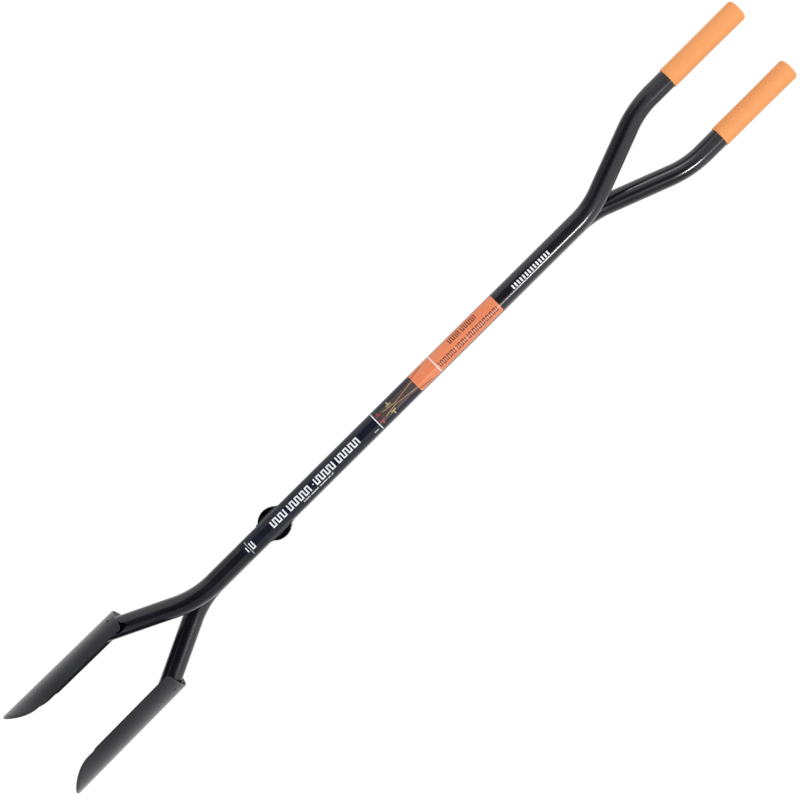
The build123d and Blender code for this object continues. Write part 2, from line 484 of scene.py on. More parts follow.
@dataclass
class Palette:
    """Every finish of the digger, made once."""

    tube: bpy.types.Material = made(TubeEnamel().make)
    blade: bpy.types.Material = made(BladeEnamel().make)
    weld: bpy.types.Material = made(WeldEnamel().make)
    grip: bpy.types.Material = made(GripVinyl().make)
    steel: bpy.types.Material = made(
        TurnedMetal("rivet_steel", (0.56, 0.56, 0.57), (0.3, 0.3, 0.31)).make
    )
    bronze: bpy.types.Material = made(
        TurnedMetal("bush_bronze", (0.62, 0.43, 0.22), (0.36, 0.24, 0.12)).make
    )
    film: bpy.types.Material = made(
        PrintedFilm("film_black", (0.006, 0.0065, 0.015), (0.012, 0.0125, 0.024), 0.12).make
    )
    dusk: bpy.types.Material = made(
        PrintedFilm("film_dusk", (0.044, 0.031, 0.032), (0.095, 0.066, 0.066), 0.16).make
    )
    orange: bpy.types.Material = made(
        PrintedFilm("film_orange", (0.63, 0.178, 0.076), (0.66, 0.218, 0.105), 0.22).make
    )
    white: bpy.types.Material = made(
        PrintedFilm("ink_white", (0.72, 0.73, 0.76), (0.6, 0.61, 0.65), 0.35).make
    )
    russet: bpy.types.Material = made(
        PrintedFilm("ink_russet", (0.09, 0.017, 0.009), (0.13, 0.03, 0.017), 0.3).make
    )
    red: bpy.types.Material = made(
        PrintedFilm("ink_red", (0.34, 0.03, 0.023), (0.38, 0.068, 0.053), 0.35).make
    )
    straw: bpy.types.Material = made(
        PrintedFilm("ink_straw", (0.45, 0.36, 0.15), (0.35, 0.27, 0.135), 0.35).make
    )


# ------------------------------------------------------------------------------------------------- meshes


class Skin:
    """Points and faces gathered into one mesh."""

    def __init__(self) -> None:
        """Starts empty."""
        self.points: list[Vector] = []
        self.faces: list[tuple[int, ...]] = []

    def row(self, points: Sequence[Vector]) -> list[int]:
        """Adds points.

        Args:
            points: the points, in order.

        Returns:
            Their numbers.
        """
        start = len(self.points)
        self.points.extend(points)
        return list(range(start, len(self.points)))

    def strip(self, first: Sequence[int], second: Sequence[int], closed: bool) -> None:
        """Joins two rows of equal length with quads.

        Args:
            first: numbers of one row's points.
            second: numbers of the next row's points.
            closed: whether the rows are loops.
        """
        count = len(first)
        for i in range(count if closed else count - 1):
            j = (i + 1) % count
            self.faces.append((first[i], first[j], second[j], second[i]))

    def grid(
        self, rows: Sequence[Sequence[Vector]], closed: bool = True, looped: bool = False
    ) -> list[list[int]]:
        """Adds rows of points and joins each to the next.

        Args:
            rows: the rows, each of the same length.
            closed: whether each row is a loop.
            looped: whether the last row joins the first.

        Returns:
            The numbers of each row's points.
        """
        numbers = [self.row(points) for points in rows]
        pairs = list(zip(numbers, numbers[1:]))
        if looped:
            pairs.append((numbers[-1], numbers[0]))
        for first, second in pairs:
            self.strip(first, second, closed)
        return numbers

    def cap(self, loop: Sequence[int], centre: Vector, flip: bool = False) -> None:
        """Closes a loop with a fan about a centre point.

        Args:
            loop: numbers of the loop's points.
            centre: the fan's middle.
            flip: whether the fan's faces turn the other way.
        """
        hub = self.row([centre])[0]
        for i, near in enumerate(loop):
            far = loop[(i + 1) % len(loop)]
            self.faces.append((far, near, hub) if flip else (near, far, hub))

    def solid(self, name: str, place: Matrix | None = None) -> bpy.types.Object:
        """Makes the object, its faces turned outwards.

        Args:
            name: the object's name.
            place: matrix applied to every point.

        Returns:
            The object, linked to the scene.
        """
        mesh = bpy.data.meshes.new(name)
        mesh.from_pydata([tuple((place or Matrix()) @ p) for p in self.points], [], self.faces)
        work = bmesh.new()
        work.from_mesh(mesh)
        bmesh.ops.remove_doubles(work, verts=work.verts, dist=1e-7)
        bmesh.ops.dissolve_degenerate(work, edges=work.edges, dist=1e-8)
        bmesh.ops.recalc_face_normals(work, faces=work.faces)
        work.to_mesh(mesh)
        work.free()
        made = bpy.data.objects.new(name, mesh)
        bpy.context.scene.collection.objects.link(made)
        return made


def lathe(profile: Sequence[Point2], segments: int, closed_profile: bool = False) -> Skin:
    """Turns a profile about the Z axis.

    Args:
        profile: (radius, height) points; a zero radius at either end is closed with a fan.
        segments: points round each ring.
        closed_profile: whether the profile is a loop, as for a ring.

    Returns:
        The turned skin.
    """
    skin = Skin()
    rings = [(r, z) for r, z in profile if r > 0]
    turns = [2 * pi * i / segments for i in range(segments)]
    rows = [[Vector((r * cos(t), r * sin(t), z)) for t in turns] for r, z in rings]
    numbers = skin.grid(rows, looped=closed_profile)
    if profile[0][0] <= 0:
        skin.cap(numbers[0], Vector((0, 0, profile[0][1])), flip=True)
    if profile[-1][0] <= 0:
        skin.cap(numbers[-1], Vector((0, 0, profile[-1][1])))
    return skin


def arc(centre: Point2, radius: float, start: float, end: float, count: int) -> list[Point2]:
    """Points along an arc.

    Args:
        centre: the arc's centre.
        radius: its radius.
        start: first angle, in degrees.
        end: last angle, in degrees.
        count: how many points, ends included.

    Returns:
        The points.
    """
    turns = [radians(start + (end - start) * i / (count - 1)) for i in range(count)]
    return [(centre[0] + radius * cos(t), centre[1] + radius * sin(t)) for t in turns]


def applied(piece: bpy.types.Object) -> bpy.types.Object:
    """Turns a piece's modifiers into plain mesh.

    Args:
        piece: the object, with its modifiers.

    Returns:
        The same object, with the result as its mesh and no modifier.
    """
    graph = bpy.context.evaluated_depsgraph_get()
    graph.update()
    mesh = bpy.data.meshes.new_from_object(piece.evaluated_get(graph))
    piece.modifiers.clear()
    piece.data = mesh
    return piece


def carve(piece: bpy.types.Object, cutter: bpy.types.Object) -> bpy.types.Object:
    """Cuts one object out of another and deletes the cutter.

    Args:
        piece: the object that is cut.
        cutter: the object that is taken out of it.

    Returns:
        The cut object.
    """
    cut = piece.modifiers.new("cut", "BOOLEAN")
    cut.operation = "DIFFERENCE"
    cut.solver = "EXACT"
    cut.object = cutter
    applied(piece)
    bpy.data.objects.remove(cutter)
    return piece


def joined(first: bpy.types.Object, *others: bpy.types.Object) -> bpy.types.Object:
    """Adds the meshes of other objects to the first and deletes those objects.

    Args:
        first: the object that stays.
        others: the objects that it takes in.

    Returns:
        The first object.
    """
    work = bmesh.new()
    for piece in (first, *others):
        work.from_mesh(piece.data)
    work.to_mesh(first.data)
    work.free()
    for piece in others:
        bpy.data.objects.remove(piece)
    return first


def dressed(piece: bpy.types.Object, material: bpy.types.Material) -> bpy.types.Object:
    """Gives a piece its finish and smooth shading with crisp corners.

    Args:
        piece: the object.
        material: its finish.

    Returns:
        The same object.
    """
    piece.data.materials.clear()
    piece.data.materials.append(material)
    piece.data.polygons.foreach_set("use_smooth", [True] * len(piece.data.polygons))
    piece.data.set_sharp_from_angle(angle=SHARP_ANGLE)
    piece.data.update()
    return piece


def mounted(piece: bpy.types.Object, body: str, slot: str, *nodes: str) -> bpy.types.Object:
    """Makes a piece ride on its body and stand for its CAD nodes.

    Args:
        piece: the object.
        body: the CAD body that it moves with.
        slot: the record's material slot; not used.
        nodes: CAD nodes that it replaces.

    Returns:
        The same object.
    """
    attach(piece, body)
    if nodes:
        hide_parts(*nodes)
    log.info("%s: %d faces on %s", piece.name, len(piece.data.polygons), body)
    return piece


# --------------------------------------------------------------------------------------------------- arms


@dataclass(frozen=True)
class Blade:
    """Rolled digging blade: a round ground nose, a small shoulder each side, a square top and two holes."""

    length: float = 0.2286
    radius: float = 0.0835
    thickness: float = 0.002
    width: float = 0.127
    toe_out: float = radians(0.65)
    nose_radius: float = 0.060
    nose_half_width: float = 0.0622
    shoulder_bottom: float = 0.070
    shoulder_top: float = 0.076
    corner_radius: float = 0.007
    hole_radius: float = 0.0023
    hole_drop: float = 0.012
    hole_angle: float = radians(24)
    edge_round: float = 0.0004
    grind: float = 0.0026
    grind_land: float = 0.0005
    grid_step: float = 0.004
    edge_step: float = 0.0021

    @property
    def inner_radius(self) -> float:
        """Radius of the blade's inside face."""
        return self.radius - self.thickness

    def frame(self, reach: float) -> Matrix:
        """Matrix from the blade's own roll axis to the row frame.

        Args:
            reach: distance of the blade's point from the long axis.

        Returns:
            The matrix.
        """
        tip = Matrix.Translation((reach, 0, 0)) @ Matrix.Rotation(-self.toe_out, 4, "Y")
        return tip @ Matrix.Translation((-self.radius, 0, 0))

    def _flat(self, across: float) -> float:
        """Distance round the outside face for a straight distance across."""
        return self.radius * asin(across / self.radius)

    def _half_outline(self) -> list[Point2]:
        """One half of the flat plate's outline.

        Returns:
            The points, from the blade's point up to the middle of its top edge.
        """
        offset = self.nose_half_width - self.nose_radius
        rise = sqrt(self.nose_radius**2 - offset**2)
        nose = arc((offset, rise), self.nose_radius, degrees(atan2(-rise, -offset)), 0, 44)
        wide = self.width / 2
        middle = (wide - self.corner_radius, self.length - self.corner_radius)
        corner = arc(middle, self.corner_radius, 0, 90, 7)
        shoulder = [(self.nose_half_width, self.shoulder_bottom), (wide, self.shoulder_top)]
        outline = [(self._flat(max(y, 0.0)), max(z, 0.0)) for y, z in nose + shoulder + corner]
        outline.append((0.0, self.length))
        return outline

    def outline(self) -> list[Point2]:
        """The whole flat outline.

        Returns:
            The points, evenly divided and anticlockwise.
        """
        half = self._half_outline()
        left = [(-a, z) for a, z in reversed(half) if a > 1e-6]
        corners = half + left
        points: list[Point2] = []
        for (a0, z0), (a1, z1) in zip(corners, corners[1:] + corners[:1]):
            steps = max(1, round(sqrt((a1 - a0) ** 2 + (z1 - z0) ** 2) / self.edge_step))
            points += [(a0 + (a1 - a0) * i / steps, z0 + (z1 - z0) * i / steps) for i in range(steps)]
        return points

    def holes(self) -> list[list[Point2]]:
        """The two holes' outlines on the flat plate.

        Returns:
            One loop of points for each hole.
        """
        height = self.length - self.hole_drop
        middles = [(side * self.radius * self.hole_angle, height) for side in (-1, 1)]
        return [arc(middle, self.hole_radius, 0, 345, 24) for middle in middles]

    @staticmethod
    def _inside(point: Point2, loop: Sequence[Point2]) -> bool:
        """Whether a point lies inside a loop.

        Args:
            point: the point.
            loop: the loop's corners.

        Returns:
            True if it lies inside.
        """
        x, y = point
        hit = False
        for (x0, y0), (x1, y1) in zip(loop, list(loop[1:]) + [loop[0]]):
            if (y0 > y) != (y1 > y) and x < (x1 - x0) * (y - y0) / (y1 - y0) + x0:
                hit = not hit
        return hit

    @staticmethod
    def _gap(point: Point2, loop: Sequence[Point2]) -> float:
        """Distance from a point to the nearest point of a loop."""
        return min((point[0] - x) ** 2 + (point[1] - y) ** 2 for x, y in loop) ** 0.5

    def _triangles(self, loops: list[list[Point2]]) -> tuple[list[Point2], list[tuple[int, ...]]]:
        """Fills the flat plate with triangles.

        Args:
            loops: the outline and then the holes.

        Returns:
            The points, the loops' own first and in order, and the triangles.
        """
        points = [p for loop in loops for p in loop]
        edges = []
        start = 0
        for loop in loops:
            edges += [(start + i, start + (i + 1) % len(loop)) for i in range(len(loop))]
            start += len(loop)
        clear = self.grid_step + self.grind * 0.2
        columns = ceil(self.radius * 2 / self.grid_step)
        for i in range(-columns, columns + 1):
            for j in range(1, int(self.length / self.grid_step) + 1):
                spot = (i * self.grid_step, (j + 0.5 * (i % 2)) * self.grid_step)
                inside = self._inside(spot, loops[0]) and self._gap(spot, loops[0]) > clear
                if inside and all(self._gap(spot, hole) > self.grid_step / 2 for hole in loops[1:]):
                    if not any(self._inside(spot, hole) for hole in loops[1:]):
                        points.append(spot)
        made, _, faces, *_ = geometry.delaunay_2d_cdt([Vector(p) for p in points], edges, [], 0, 1e-7)
        kept = []
        for face in faces:
            middle = (sum(made[v].x for v in face) / len(face), sum(made[v].y for v in face) / len(face))
            if self._inside(middle, loops[0]) and not any(self._inside(middle, hole) for hole in loops[1:]):
                kept.append(tuple(face))
        return [(v.x, v.y) for v in made], kept

    def _inward(self, loop: Sequence[Point2]) -> list[Vector]:
        """Direction into the plate's metal round a loop.

        Args:
            loop: the loop's points, anticlockwise.

        Returns:
            A unit vector for each point.
        """
        count = len(loop)
        normals = []
        for i in range(count):
            along = Vector(loop[(i + 1) % count]) - Vector(loop[i - 1])
            normals.append(Vector((-along.y, along.x)).normalized())
        return normals

    def _rolled(self, spot: Vector, radius: float) -> Vector:
        """A flat point rolled to a radius about the blade's own axis."""
        turn = spot.x / self.radius
        return Vector((radius * cos(turn), radius * sin(turn), spot.y))

    def build(self, name: str, place: Matrix) -> bpy.types.Object:
        """Makes the blade.

        Args:
            name: the object's name.
            place: matrix from the blade's roll axis to the row frame.

        Returns:
            The blade, with rounded edges and a ground nose.
        """
        loops = [self.outline(), *self.holes()]
        points, triangles = self._triangles(loops)
        inward = self._inward(loops[0])
        for hole in loops[1:]:
            inward += [-normal for normal in self._inward(hole)]
        fade = [min(1.0, max(0.0, (self.shoulder_bottom - z) / 0.014)) for _, z in points[: len(inward)]]
        skin = Skin()

        def surface(radius: float, inset: Callable[[float], float]) -> list[int]:
            """Adds one face's points.

            Args:
                radius: the face's radius.
                inset: how far its edges are drawn in, from how far they are ground.

            Returns:
                The points' numbers.
            """
            spots = [Vector(p) for p in points]
            for i, normal in enumerate(inward):
                spots[i] = spots[i] + normal * inset(fade[i])
            return skin.row([self._rolled(spot, radius) for spot in spots])

        def rim(level: Callable[[float], float]) -> list[int]:
            """Adds the edges' own points at a radius that depends on the ground share."""
            return skin.row([self._rolled(Vector(points[i]), level(fade[i])) for i in range(len(inward))])

        edge, land = self.edge_round, self.grind_land
        inside = surface(self.inner_radius, lambda ground: edge * (1 - 0.6 * ground))
        low = rim(lambda ground: self.inner_radius + edge * (1 - 0.6 * ground))
        high = rim(lambda ground: self.radius - edge - (self.thickness - edge - land) * ground)
        outside = surface(self.radius, lambda ground: edge + (self.grind - edge) * ground)
        skin.faces += [tuple(inside[v] for v in face) for face in triangles]
        skin.faces += [tuple(outside[v] for v in reversed(face)) for face in triangles]
        start = 0
        for loop in loops:
            span = range(start, start + len(loop))
            for lower, upper in ((inside, low), (low, high), (high, outside)):
                skin.strip([lower[i] for i in span], [upper[i] for i in span], closed=True)
            start += len(loop)
        return skin.solid(name, place)


@dataclass(frozen=True)
class Shaft:
    """Bent steel tube from the inside of the blade to the inside of the grip."""

    radius: float = 0.015875
    wall: float = 0.0021
    bend_radius: float = 0.165
    handle_reach: float = 0.058
    upper_bend: float = 1.311
    shaft_top: float = 1.158
    shaft_bottom: float = 0.334
    leg_angle: float = radians(25.5)
    open_length: float = 0.14
    segments: int = 72
    leg_steps: int = 26
    bore_steps: int = 12
    flattening: float = 0.022
    crop_apex: float = 0.236
    crop_half_width: float = 0.009
    crop_half_angle: float = radians(31)
    crop_floor: float = 0.009

    @property
    def leg(self) -> Vector:
        """Unit vector down the lower leg."""
        return Vector((sin(self.leg_angle), 0, -cos(self.leg_angle)))

    def leg_point(self, height: float, offset: float) -> Vector:
        """Point of the lower leg's centreline at a height."""
        return Vector(((self.shaft_bottom - height) * tan(self.leg_angle), offset, height))

    def _corners(self, top: float) -> list[Vector]:
        """Corners of the centreline in the arm's plane.

        Args:
            top: height of the tube's upper end.

        Returns:
            The corners, from the leg's foot up.
        """
        foot = Vector((0, 0, self.shaft_bottom)) + self.leg * self.bend_radius
        return [
            foot,
            Vector((0, 0, self.shaft_bottom)),
            Vector((0, 0, self.shaft_top)),
            Vector((self.handle_reach, 0, self.upper_bend)),
            Vector((self.handle_reach, 0, top)),
        ]

    def centreline(self, top: float) -> list[tuple[Vector, Vector, float]]:
        """The centreline above the straight leg.

        Args:
            top: height of the tube's upper end.

        Returns:
            (point, direction, share of bend) at each station, from the lower bend up.
        """
        corners = self._corners(top)
        stations: list[tuple[Vector, Vector, float]] = []
        for before, corner, after in zip(corners, corners[1:], corners[2:]):
            into = (corner - before).normalized()
            out = (after - corner).normalized()
            turn = into.angle(out)
            reach = self.bend_radius * tan(turn / 2)
            start = corner - into * reach
            side = (out - into * into.dot(out)).normalized()
            steps = 16
            for i in range(steps + 1):
                share = turn * i / steps
                spot = start + into * (self.bend_radius * sin(share)) + side * (
                    self.bend_radius * (1 - cos(share))
                )
                heading = into * cos(share) + side * sin(share)
                stations.append((spot, heading, sin(pi * i / steps) ** 0.5))
        stations.append((corners[-1], Vector((0, 0, 1)), 0.0))
        return stations

    def _ring(self, centre: Vector, heading: Vector, radius: float, squash: float = 0.0) -> list[Vector]:
        """One ring of the tube.

        Args:
            centre: the ring's centre.
            heading: direction of the tube there.
            radius: the ring's radius.
            squash: how much flatter the ring is in the plane of the bend.

        Returns:
            The ring's points.
        """
        across = Vector((0, 1, 0))
        side = across.cross(heading).normalized()
        ring = []
        for i in range(self.segments):
            turn = 2 * pi * i / self.segments
            flat = side * (radius * (1 - squash) * cos(turn))
            ring.append(centre + flat + across * (radius * (1 + squash / 2) * sin(turn)))
        return ring

    def foot_ring(self, radius: float, offset: float, blade: Blade, place: Matrix) -> list[Vector]:
        """Where the lower leg's surface meets the inside of the blade.

        Args:
            radius: radius of that surface.
            offset: distance of the arm's plane from the mid plane.
            blade: the blade.
            place: matrix from the blade's roll axis to the row frame.

        Returns:
            One point for each segment of the tube.
        """
        start = self.leg_point(self.shaft_bottom, offset)
        inverse = place.inverted()
        heading = (inverse.to_3x3() @ self.leg).xy
        points = []
        for spot in self._ring(start, -self.leg, radius):
            flat = (inverse @ spot).xy
            a, b = heading.dot(heading), flat.dot(heading)
            c = flat.dot(flat) - blade.inner_radius**2
            points.append(spot + self.leg * ((-b + sqrt(b * b - a * c)) / a))
        return points

    def _crop_cutter(self, offset: float) -> bpy.types.Object:
        """V-shaped block that crops the outward wall of the tube's lower end.

        Args:
            offset: distance of the arm's plane from the mid plane.

        Returns:
            The block, for carve.
        """
        apex = self.leg_point(self.crop_apex, offset)
        side = Vector((0, 1, 0)).cross(self.leg).normalized()
        widening = self.crop_half_width / tan(self.crop_half_angle)
        length = self.open_length
        outline = [
            (0.0, 0.0),
            (widening, self.crop_half_width),
            (length, self.crop_half_width),
            (length, -self.crop_half_width),
            (widening, -self.crop_half_width),
        ]
        skin = Skin()
        rows = []
        for depth in (self.crop_floor, 2 * self.radius):
            rows.append([apex + self.leg * l + side * w + Vector((0, depth, 0)) for l, w in outline])
        low, high = skin.grid(rows)
        skin.faces += [tuple(low), tuple(reversed(high))]
        return skin.solid("crop_cutter")

    def build(self, name: str, offset: float, top: float, blade: Blade, place: Matrix) -> bpy.types.Object:
        """Makes the tube on the rear arm.

        Args:
            name: the object's name.
            offset: distance of the arm's plane from the mid plane.
            top: height of the tube's upper end.
            blade: the blade that trims its lower end.
            place: matrix from the blade's roll axis to the row frame.

        Returns:
            The tube, hollow at its lower end and cropped there.
        """
        shift = Vector((0, offset, 0))
        stations = self.centreline(top)
        outer = [self._ring(p + shift, h, self.radius, self.flattening * b) for p, h, b in stations]
        foot = self.foot_ring(self.radius, offset, blade, place)
        steps = self.leg_steps
        leg_rows = [[f.lerp(s, i / steps) for f, s in zip(foot, outer[0])] for i in range(steps)]
        bore = self.radius - self.wall
        inner_foot = self.foot_ring(bore, offset, blade, place)
        back = [p - self.leg * self.open_length for p in inner_foot]
        deep = self.bore_steps
        inner_rows = [[b.lerp(f, i / deep) for b, f in zip(back, inner_foot)] for i in range(deep + 1)]
        skin = Skin()
        numbers = skin.grid([*inner_rows, *leg_rows, *outer])
        skin.cap(numbers[-1], stations[-1][0] + shift)
        middle = sum(back, Vector()) / len(back)
        skin.cap(numbers[0], middle, flip=True)
        return carve(skin.solid(name), self._crop_cutter(offset))


@dataclass(frozen=True)
class WeldBead:
    """Rippled bead round the tube where it meets the inside of the blade."""

    radius: float = 0.0029
    pitch: float = 0.0032
    ripple: float = 0.13
    lean: float = 0.0011
    sink: float = 0.0012
    rows: int = 420
    segments: int = 12

    def build(
        self, name: str, shaft: Shaft, offset: float, blade: Blade, place: Matrix
    ) -> bpy.types.Object:
        """Makes the bead on the rear arm.

        Args:
            name: the object's name.
            shaft: the tube.
            offset: distance of the arm's plane from the mid plane.
            blade: the blade.
            place: matrix from the blade's roll axis to the row frame.

        Returns:
            The bead, a closed ring.
        """
        ring = shaft.foot_ring(shaft.radius, offset, blade, place)
        count = len(ring)
        path = []
        for i in range(self.rows):
            share = i / self.rows * count
            low = int(share)
            blend = share - low
            path.append(ring[low % count].lerp(ring[(low + 1) % count], blend))
        axis_point = shaft.leg_point(shaft.shaft_bottom, offset)
        inverse = place.inverted()
        travelled = 0.0
        rows = []
        for i, spot in enumerate(path):
            along = (path[(i + 1) % self.rows] - path[i - 1]).normalized()
            from_tube = spot - axis_point
            from_tube = (from_tube - shaft.leg * from_tube.dot(shaft.leg)).normalized()
            flat = (inverse @ spot).xy.normalized()
            from_blade = place.to_3x3() @ Vector((-flat.x, -flat.y, 0))
            phase = (travelled / self.pitch) % 1.0
            swell = self.radius * (1 - self.ripple + self.ripple * 2 * sqrt(phase * (1 - phase)))
            centre = spot + (from_tube + from_blade) * self.lean
            inward = (inverse @ centre).xy.length - (blade.inner_radius - self.radius + self.sink)
            centre = centre + from_blade * max(0.0, inward)
            side = along.cross(from_blade).normalized()
            up = side.cross(along)
            turns = [2 * pi * k / self.segments for k in range(self.segments)]
            rows.append([centre + (side * cos(t) + up * sin(t)) * swell for t in turns])
            travelled += (path[(i + 1) % self.rows] - spot).length
        skin = Skin()
        skin.grid(rows, looped=True)
        return skin.solid(name)


@dataclass(frozen=True)
class Grip:
    """Closed-end dipped grip with a rolled lip and a softly domed end."""

    lip_radius: float = 0.0008
    end_radius: float = 0.0052
    dome: float = 0.0006
    flare: float = 0.0003
    waist: float = 0.00022
    body_share: float = 0.94
    mouth_depth: float = 0.012
    mouth_edge: float = 0.0006
    segments: int = 96

    def profile(self, radius: float, bore: float, length: float) -> list[Point2]:
        """Section of the grip.

        Args:
            radius: outside radius.
            bore: radius of the tube inside it.
            length: the grip's length.

        Returns:
            (radius, height) points from the inside of the mouth, round the lip, to the middle of the end.
        """
        slim = radius - self.flare
        lip = arc((slim - self.lip_radius, self.lip_radius), self.lip_radius, -90, 0, 6)
        body = []
        for i in range(1, 24):
            share = i / 24
            sink = self.waist * sin(pi * share) ** 2
            body.append((slim + self.flare * share**2 - sink, length * share * self.body_share))
        middle = (radius - self.end_radius, length - self.dome - self.end_radius)
        shoulder = arc(middle, self.end_radius, 0, 82, 12)
        edge_radius, edge_height = shoulder[-1]
        crown = []
        for i in range(1, 8):
            share = i / 8
            rise = (length - edge_height) * (1 - (1 - share) ** 2)
            crown.append((edge_radius * (1 - share), edge_height + rise))
        mouth = [(bore, self.mouth_depth), (bore, self.mouth_edge)]
        return [*mouth, *lip, *body, *shoulder, *crown, (0.0, length)]

    def build(self, name: str, box: tuple[Vector, Vector], bore: float) -> bpy.types.Object:
        """Makes the grip where its CAD node is.

        Args:
            name: the object's name.
            box: the rear grip's lowest and highest corners.
            bore: radius of the tube inside it.

        Returns:
            The grip.
        """
        low, high = box
        radius = (high.x - low.x) / 2
        middle = Vector(((low.x + high.x) / 2, (low.y + high.y) / 2, low.z))
        skin = lathe(self.profile(radius, bore, high.z - low.z), self.segments)
        skin.cap(list(range(self.segments)), Vector((0, 0, self.mouth_depth)), flip=True)
        return skin.solid(name, Matrix.Translation(middle))


@dataclass(frozen=True)
class PivotCup:
    """Dished pivot pressing with two wings that hug the tube."""

    diameter: float = 0.0514
    thickness: float = 0.0024
    face: float = 0.0007
    rim: float = 0.013
    corner: float = 0.0045
    wing_thickness: float = 0.0017
    wing_half_length: float = 0.0235
    wing_past_centre: float = 0.0015
    wing_low_turn: float = radians(35)
    wing_taper: float = 0.06
    wing_columns: int = 14
    wing_half_rows: int = 12
    rivet_radius: float = 0.006
    segments: int = 128

    def _dish(self, bore: float) -> Skin:
        """The dish about its own axis, its flat face at the bottom.

        Args:
            bore: radius of its hole.

        Returns:
            The turned skin.
        """
        outer, thick, depth = self.diameter / 2, self.thickness, self.rim - self.face
        low = arc((outer - self.corner, self.corner), self.corner, -90, 0, 10)
        lip = arc((outer - thick / 2, depth - thick / 2), thick / 2, 0, 180, 9)
        inner_corner = self.corner - thick
        inner = arc((outer - thick - inner_corner, thick + inner_corner), inner_corner, 0, -90, 7)
        profile = [(bore, 0.0), *low, *lip, *inner, (bore, thick)]
        return lathe(profile, self.segments, closed_profile=True)

    def _wing(self, tube_radius: float, offset: float, height: float) -> Skin:
        """One wing of the saddle, at x > 0.

        Args:
            tube_radius: radius of the tube that it hugs.
            offset: distance of the tube's axis from the mid plane.
            height: height of the pivot.

        Returns:
            The wing, a thin curved slab with a lens-shaped end.
        """
        reach = self.wing_past_centre / tube_radius
        columns = self.wing_columns
        first = -pi / 2 + self.wing_low_turn
        sweep = pi / 2 - self.wing_low_turn + reach
        turns = [first + sweep * i / columns for i in range(columns + 1)]
        tapers = [1 - self.wing_taper * (i / columns) ** 3 for i in range(columns + 1)]
        spans = [self.wing_half_length * taper for taper in tapers]
        rows = []
        for k in range(2 * self.wing_half_rows + 1):
            share = -1 + k / self.wing_half_rows
            inside, outside = [], []
            for turn, span in zip(turns, spans):
                z = height + share * span
                thin = self.wing_thickness * (0.35 + 0.65 * (1 - abs(share) ** 7))
                for radius, shelf in ((tube_radius, inside), (tube_radius + thin, outside)):
                    shelf.append(Vector((radius * cos(turn), offset + radius * sin(turn), z)))
            rows.append(inside + list(reversed(outside)))
        skin = Skin()
        numbers = skin.grid(rows)
        skin.faces += [tuple(numbers[0]), tuple(reversed(numbers[-1]))]
        return skin

    def build(
        self, name: str, tube_radius: float, offset: float, height: float, bore: float
    ) -> bpy.types.Object:
        """Makes the pressing on the rear arm.

        Args:
            name: the object's name.
            tube_radius: radius of the tube that it hugs.
            offset: distance of the tube's axis from the mid plane.
            height: height of the pivot.
            bore: radius of the hole for the rivet or its bush.

        Returns:
            The pressing.
        """
        upright = Matrix.Translation((0, self.face, height)) @ Matrix.Rotation(-pi / 2, 4, "X")
        dish = self._dish(bore).solid(name, upright)
        cutter = lathe([(0.0, -0.04), (tube_radius, -0.04), (tube_radius, 0.04), (0.0, 0.04)], 96)
        carve(dish, cutter.solid("tube_cutter", Matrix.Translation((0, offset, height))))
        right = self._wing(tube_radius, offset, height).solid("wing_right")
        left = self._wing(tube_radius, offset, height).solid("wing_left", Matrix.Diagonal((-1, 1, 1, 1)))
        left.data.flip_normals()
        return joined(dish, right, left)


@dataclass(frozen=True)
class SaddleBead:
    """Thin bead along each edge of the saddle, against the tube."""

    radius: float = 0.0013
    half_length: float = 0.0175
    pitch: float = 0.0022
    ripple: float = 0.16
    stand_off: float = 0.0003
    rows: int = 110
    segments: int = 10

    def build(
        self, name: str, tube_radius: float, offset: float, height: float, past: float
    ) -> bpy.types.Object:
        """Makes both beads on the rear arm.

        Args:
            name: the object's name.
            tube_radius: radius of the tube.
            offset: distance of the tube's axis from the mid plane.
            height: height of the pivot.
            past: how far past the tube's widest line the bead lies.

        Returns:
            The two beads as one object.
        """
        skin = Skin()
        turn = asin((past + self.radius * 0.4) / tube_radius)
        for side in (-1, 1):
            rows = []
            for i in range(self.rows + 1):
                share = -1 + 2 * i / self.rows
                z = share * self.half_length
                phase = (z / self.pitch) % 1.0
                swell = self.radius * (1 - self.ripple + 2 * self.ripple * sqrt(phase * (1 - phase)))
                swell *= sqrt(max(0.03, 1 - abs(share) ** 6))
                out = side * (tube_radius + self.stand_off) * cos(turn)
                centre = Vector((out, offset + tube_radius * sin(turn), height + z))
                ring = [2 * pi * k / self.segments for k in range(self.segments)]
                rows.append([centre + Vector((cos(t), sin(t), 0)) * swell for t in ring])
            numbers = skin.grid(rows)
            skin.cap(numbers[0], sum(rows[0], Vector()) / self.segments, flip=True)
            skin.cap(numbers[-1], sum(rows[-1], Vector()) / self.segments)
        return skin.solid(name)


